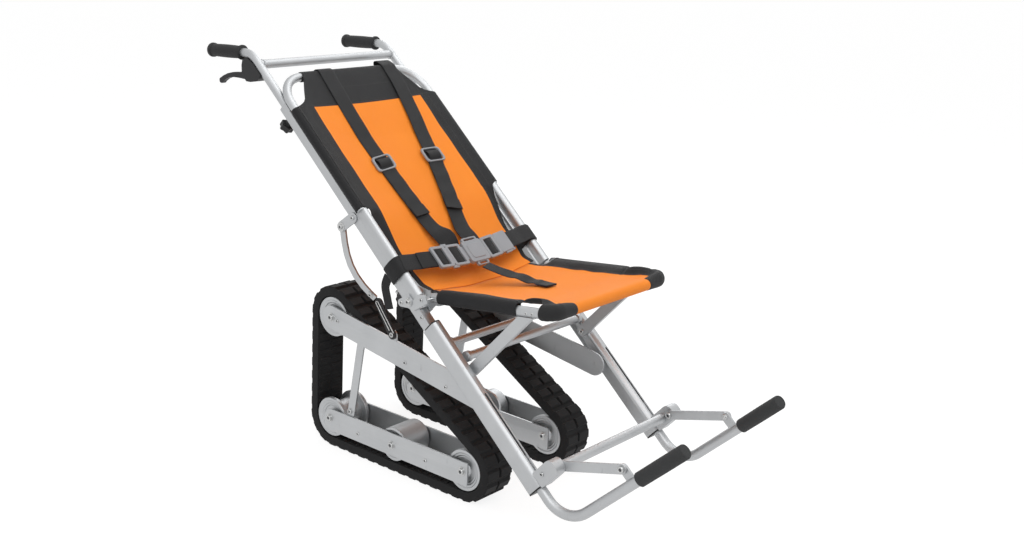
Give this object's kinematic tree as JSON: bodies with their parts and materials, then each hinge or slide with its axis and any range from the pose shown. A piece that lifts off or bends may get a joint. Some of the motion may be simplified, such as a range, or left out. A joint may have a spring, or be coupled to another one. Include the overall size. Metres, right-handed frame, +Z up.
{
  "type": "evacuation chair",
  "caption": "Stair evacuation chair on rubber tracks: sloping rail frame with sling back and seat, harness, telescoping push handle with brake lever, folding seat and slide-out carrying frame.",
  "frame": {"origin": "centre of the bounding box at floor level, under the tracks", "axes": "+Z up; the chair faces -Y and is pushed from +Y; +X is the occupant's left"},
  "size_m": [0.5166, 1.5104, 1.0147],
  "materials": {
    "satin_aluminium": "satin",
    "track_rubber": "matte",
    "black_plastic": "satin",
    "grey_plastic": "satin",
    "grip_foam": "matte",
    "orange_fabric": "matte",
    "black_webbing": "matte"
  },
  "bodies": {
    "frame": {"back_rail_right": "satin_aluminium", "back_rail_left": "satin_aluminium", "lower_rail_right": "satin_aluminium", "lower_rail_left": "satin_aluminium", "rail_plug_right": "black_plastic", "rail_plug_left": "black_plastic", "back_hoop": "satin_aluminium", "hinge_bracket_right": "satin_aluminium", "hinge_bracket_left": "satin_aluminium", "brace_bracket_right": "satin_aluminium", "brace_bracket_left": "satin_aluminium", "cross_tube_upper": "satin_aluminium", "cross_tube_lower": "satin_aluminium", "back_sling": "orange_fabric", "shoulder_strap_right": "black_webbing", "shoulder_strap_left": "black_webbing", "lap_belt_right": "black_webbing", "lap_belt_left": "black_webbing", "harness_buckle": "grey_plastic"},
    "push_handle": {"handle_frame": "satin_aluminium", "hand_grip_right": "grip_foam", "hand_grip_left": "grip_foam", "brake_clamp": "black_plastic"},
    "brake_lever": {"brake_lever": "black_plastic"},
    "clamp_knob_right": {"clamp_knob_right": "black_plastic"},
    "clamp_knob_left": {"clamp_knob_left": "black_plastic"},
    "seat": {"seat_frame": "satin_aluminium", "seat_sling": "orange_fabric"},
    "strut_right": {"strut_right": "satin_aluminium"},
    "strut_left": {"strut_left": "satin_aluminium"},
    "foot_frame": {"foot_tube_right": "satin_aluminium", "foot_tube_left": "satin_aluminium", "foot_crossbar": "satin_aluminium", "foot_link_right": "satin_aluminium", "foot_link_left": "satin_aluminium", "foot_grip_right": "grip_foam", "foot_grip_left": "grip_foam"},
    "track_right": {"track_belt_right": "track_rubber", "track_bar_right": "satin_aluminium", "track_frame_right": "satin_aluminium", "track_upright_right": "satin_aluminium"},
    "track_left": {"track_belt_left": "track_rubber", "track_bar_left": "satin_aluminium", "track_frame_left": "satin_aluminium", "track_upright_left": "satin_aluminium"},
    "wheel_top_right": {"wheel_top_right": "satin_aluminium"},
    "wheel_front_right": {"wheel_front_right": "satin_aluminium"},
    "wheel_mid_right": {"wheel_mid_right": "satin_aluminium"},
    "wheel_rear_right": {"wheel_rear_right": "satin_aluminium"},
    "wheel_top_left": {"wheel_top_left": "satin_aluminium"},
    "wheel_front_left": {"wheel_front_left": "satin_aluminium"},
    "wheel_mid_left": {"wheel_mid_left": "satin_aluminium"},
    "wheel_rear_left": {"wheel_rear_left": "satin_aluminium"},
    "brace_arm_right": {"brace_arm_right": "satin_aluminium"},
    "brace_arm_left": {"brace_arm_left": "satin_aluminium"},
    "brace_link_right": {"brace_link_right": "black_plastic"},
    "brace_link_left": {"brace_link_left": "black_plastic"}
  },
  "joints": [
    {"name": "handle_slide", "type": "slide", "parent": "frame", "child": "push_handle", "axis": [0, 0.749, 0.6626], "range_m": [0, 0.2]},
    {"name": "brake_squeeze", "type": "hinge", "parent": "push_handle", "child": "brake_lever", "pos_m": [-0.235, 0.59729, 0.94], "axis": [1, 0, 0], "range_deg": [0, 18], "stiffness_Nm_per_rad": 0.8},
    {"name": "knob_turn_right", "type": "hinge", "parent": "frame", "child": "clamp_knob_right", "pos_m": [-0.235, 0.44523, 0.8478], "axis": [0, 0.6626, -0.749], "continuous": true},
    {"name": "knob_turn_left", "type": "hinge", "parent": "frame", "child": "clamp_knob_left", "pos_m": [0.235, 0.44523, 0.8478], "axis": [0, 0.6626, -0.749], "continuous": true},
    {"name": "seat_fold", "type": "hinge", "parent": "frame", "child": "seat", "pos_m": [0, -0.04504, 0.49527], "axis": [-1, 0, 0], "range_deg": [0, 90]},
    {"name": "strut_fold_right", "type": "hinge", "parent": "frame", "child": "strut_right", "pos_m": [-0.2125, -0.1661, 0.34806], "axis": [1, 0, 0], "range_deg": [0, 86]},
    {"name": "strut_fold_left", "type": "hinge", "parent": "frame", "child": "strut_left", "pos_m": [0.2125, -0.1661, 0.34806], "axis": [1, 0, 0], "range_deg": [0, 86]},
    {"name": "foot_slide", "type": "slide", "parent": "frame", "child": "foot_frame", "axis": [0, 0.749, 0.6626], "range_m": [0, 0.025]},
    {"name": "track_fold_right", "type": "hinge", "parent": "frame", "child": "track_right", "pos_m": [-0.2, -0.21386, 0.27377], "axis": [1, 0, 0], "range_deg": [0, 20]},
    {"name": "track_fold_left", "type": "hinge", "parent": "frame", "child": "track_left", "pos_m": [0.2, -0.21386, 0.27377], "axis": [1, 0, 0], "range_deg": [0, 20]},
    {"name": "wheel_top_spin_right", "type": "hinge", "parent": "track_right", "child": "wheel_top_right", "pos_m": [-0.155, 0.32529, 0.356], "axis": [1, 0, 0], "continuous": true},
    {"name": "wheel_front_spin_right", "type": "hinge", "parent": "track_right", "child": "wheel_front_right", "pos_m": [-0.155, -0.13671, 0.08], "axis": [1, 0, 0], "continuous": true},
    {"name": "wheel_mid_spin_right", "type": "hinge", "parent": "track_right", "child": "wheel_mid_right", "pos_m": [-0.155, 0.10029, 0.0735], "axis": [1, 0, 0], "continuous": true},
    {"name": "wheel_rear_spin_right", "type": "hinge", "parent": "track_right", "child": "wheel_rear_right", "pos_m": [-0.155, 0.32729, 0.08], "axis": [1, 0, 0], "continuous": true},
    {"name": "wheel_top_spin_left", "type": "hinge", "parent": "track_left", "child": "wheel_top_left", "pos_m": [0.155, 0.32529, 0.356], "axis": [1, 0, 0], "continuous": true},
    {"name": "wheel_front_spin_left", "type": "hinge", "parent": "track_left", "child": "wheel_front_left", "pos_m": [0.155, -0.13671, 0.08], "axis": [1, 0, 0], "continuous": true},
    {"name": "wheel_mid_spin_left", "type": "hinge", "parent": "track_left", "child": "wheel_mid_left", "pos_m": [0.155, 0.10029, 0.0735], "axis": [1, 0, 0], "continuous": true},
    {"name": "wheel_rear_spin_left", "type": "hinge", "parent": "track_left", "child": "wheel_rear_left", "pos_m": [0.155, 0.32729, 0.08], "axis": [1, 0, 0], "continuous": true},
    {"name": "brace_swing_right", "type": "hinge", "parent": "frame", "child": "brace_arm_right", "pos_m": [-0.246, 0.24146, 0.61784], "axis": [1, 0, 0], "range_deg": [-5.2, 0]},
    {"name": "brace_swing_left", "type": "hinge", "parent": "frame", "child": "brace_arm_left", "pos_m": [0.246, 0.24146, 0.61784], "axis": [1, 0, 0], "range_deg": [-5.2, 0]},
    {"name": "link_swing_right", "type": "hinge", "parent": "track_right", "child": "brace_link_right", "pos_m": [-0.2085, 0.10229, 0.366], "axis": [1, 0, 0], "range_deg": [-92, 0]},
    {"name": "link_swing_left", "type": "hinge", "parent": "track_left", "child": "brace_link_left", "pos_m": [0.2085, 0.10229, 0.366], "axis": [1, 0, 0], "range_deg": [-92, 0]}
  ],
  "couplings": [
    {"joint": "strut_fold_left", "follows": "strut_fold_right", "ratio": 1},
    {"joint": "wheel_top_spin_right", "follows": "wheel_front_spin_right", "ratio": 1},
    {"joint": "wheel_rear_spin_right", "follows": "wheel_front_spin_right", "ratio": 1},
    {"joint": "wheel_mid_spin_right", "follows": "wheel_front_spin_right", "ratio": 1.1818},
    {"joint": "wheel_top_spin_left", "follows": "wheel_front_spin_left", "ratio": 1},
    {"joint": "wheel_rear_spin_left", "follows": "wheel_front_spin_left", "ratio": 1},
    {"joint": "wheel_mid_spin_left", "follows": "wheel_front_spin_left", "ratio": 1.1818},
    {"joint": "brace_swing_right", "follows": "track_fold_right", "ratio": -0.2525},
    {"joint": "link_swing_right", "follows": "track_fold_right", "ratio": -4.557},
    {"joint": "brace_swing_left", "follows": "track_fold_left", "ratio": -0.2525},
    {"joint": "link_swing_left", "follows": "track_fold_left", "ratio": -4.557}
  ]
}
